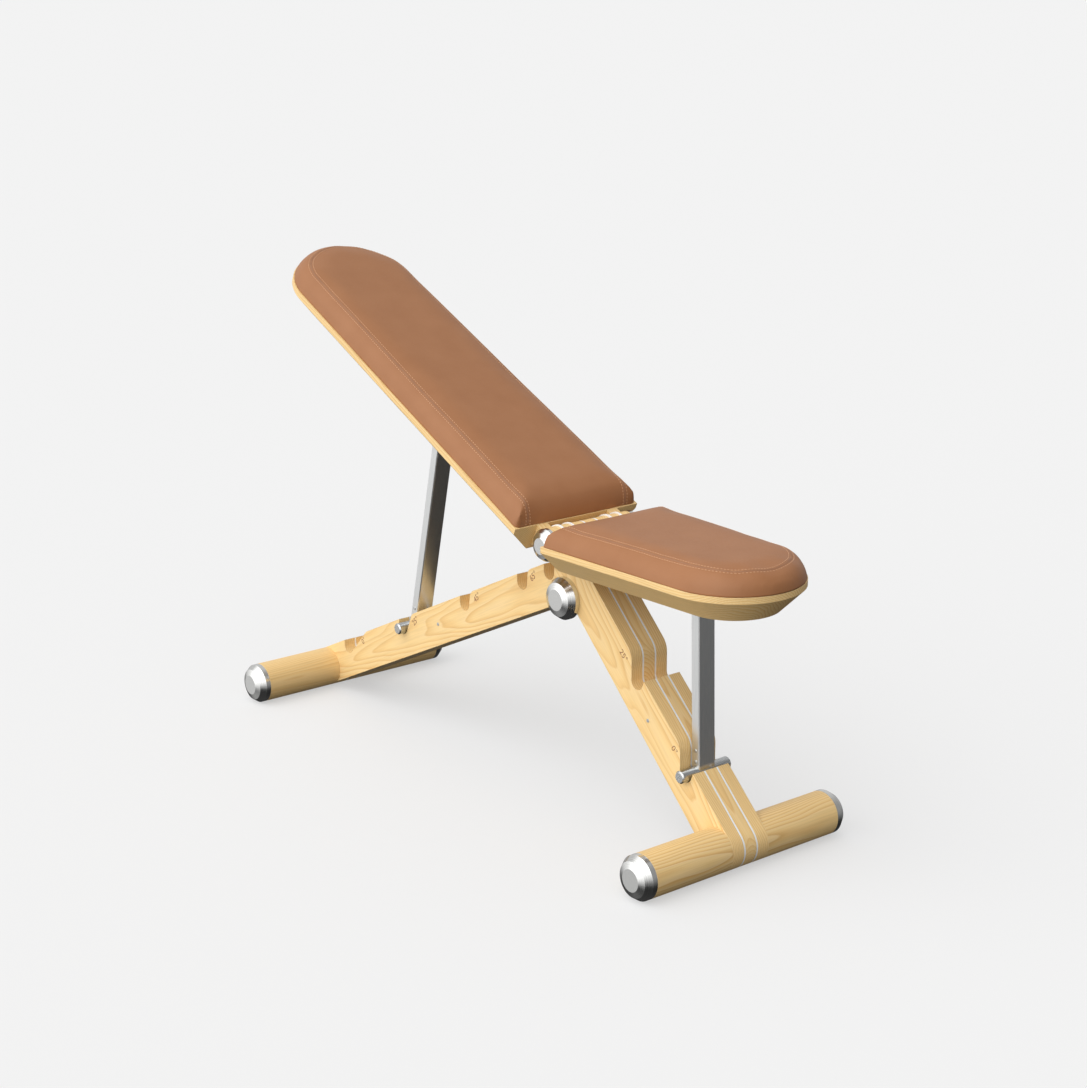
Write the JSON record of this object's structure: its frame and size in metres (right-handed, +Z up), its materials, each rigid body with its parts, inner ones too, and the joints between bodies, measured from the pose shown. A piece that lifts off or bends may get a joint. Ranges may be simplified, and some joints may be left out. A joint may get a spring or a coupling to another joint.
{
  "type": "adjustable weight bench",
  "caption": "Adjustable weight bench: laminated wooden V frame on round foot bars, padded seat and backrest that tilt on one hinge and stand on notched steel props.",
  "frame": {"origin": "on the floor, midway between the bench's two ends and its two sides", "axes": "+X from the backrest's head to the seat's nose, +Y to the left side of the bench, +Z up"},
  "size_m": [1.1882, 0.4182, 0.8245],
  "materials": {
    "pale_pine": "satin clear oil over pale growth lines",
    "birch_plywood": "sanded",
    "tan_leather": "smooth fine-grained tan leather with stitched seams",
    "turned_steel": "bright turned stainless steel",
    "satin_steel": "brushed stainless steel",
    "bronze_bush": "oil-soaked bearing bronze",
    "rubber_strip": "matt black"
  },
  "bodies": {
    "frame": {"front_foot_cap_left": "turned_steel", "front_foot_cap_right": "turned_steel", "front_foot_left": "pale_pine", "front_foot_right": "pale_pine", "front_foot_strips": "rubber_strip", "front_foot_tie_rod": "satin_steel", "front_leg_ply_left": "pale_pine", "front_leg_ply_middle": "pale_pine", "front_leg_ply_right": "pale_pine", "hinge_axle": "satin_steel", "hinge_axle_cap_left": "turned_steel", "hinge_axle_cap_right": "turned_steel", "hinge_washers": "satin_steel", "leg_pins": "satin_steel", "leg_plate_left": "satin_steel", "leg_plate_right": "satin_steel", "main_axle": "satin_steel", "main_axle_cap_left": "turned_steel", "main_axle_cap_right": "turned_steel", "rear_foot_cap_left": "turned_steel", "rear_foot_cap_right": "turned_steel", "rear_foot_left": "pale_pine", "rear_foot_right": "pale_pine", "rear_foot_strips": "rubber_strip", "rear_foot_tie_rod": "satin_steel", "rear_leg_ply_left": "pale_pine", "rear_leg_ply_middle": "pale_pine", "rear_leg_ply_right": "pale_pine"},
    "seat": {"seat_board": "pale_pine", "seat_bracket": "satin_steel", "seat_bracket_screws": "satin_steel", "seat_lug_bushes": "bronze_bush", "seat_lug_left": "pale_pine", "seat_lug_right": "pale_pine", "seat_pad": "tan_leather", "seat_pad_panel": "birch_plywood", "seat_pad_screws": "satin_steel", "seat_pivot_pin": "satin_steel"},
    "backrest": {"backrest_board": "pale_pine", "backrest_bracket": "satin_steel", "backrest_bracket_screws": "satin_steel", "backrest_lug_bushes": "bronze_bush", "backrest_lug_left": "pale_pine", "backrest_lug_right": "pale_pine", "backrest_pad": "tan_leather", "backrest_pad_panel": "birch_plywood", "backrest_pad_screws": "satin_steel", "backrest_pivot_pin": "satin_steel"},
    "seat_prop": {"seat_prop_block": "satin_steel", "seat_prop_bush": "bronze_bush", "seat_prop_rod": "turned_steel", "seat_prop_screws": "satin_steel", "seat_prop_tube": "satin_steel"},
    "backrest_prop": {"backrest_prop_block": "satin_steel", "backrest_prop_bush": "bronze_bush", "backrest_prop_rod": "turned_steel", "backrest_prop_screws": "satin_steel", "backrest_prop_tube": "satin_steel"}
  },
  "joints": [
    {"name": "seat_tilt", "type": "hinge", "parent": "frame", "child": "seat", "pos_m": [0.15551, 0, 0.4406], "axis": [0, -1, 0], "range_deg": [0, 25]},
    {"name": "backrest_tilt", "type": "hinge", "parent": "frame", "child": "backrest", "pos_m": [0.15551, 0, 0.4406], "axis": [0, 1, 0], "range_deg": [0, 40]},
    {"name": "seat_prop_swing", "type": "hinge", "parent": "seat", "child": "seat_prop", "pos_m": [0.42351, 0, 0.39365], "axis": [0, -1, 0], "range_deg": [-25, 0]},
    {"name": "backrest_prop_swing", "type": "hinge", "parent": "backrest", "child": "backrest_prop", "pos_m": [-0.22286, 0, 0.56524], "axis": [0, 1, 0], "range_deg": [-40, 0]}
  ],
  "couplings": [
    {"joint": "seat_prop_swing", "follows": "seat_tilt", "ratio": -1},
    {"joint": "backrest_prop_swing", "follows": "backrest_tilt", "ratio": -1}
  ]
}
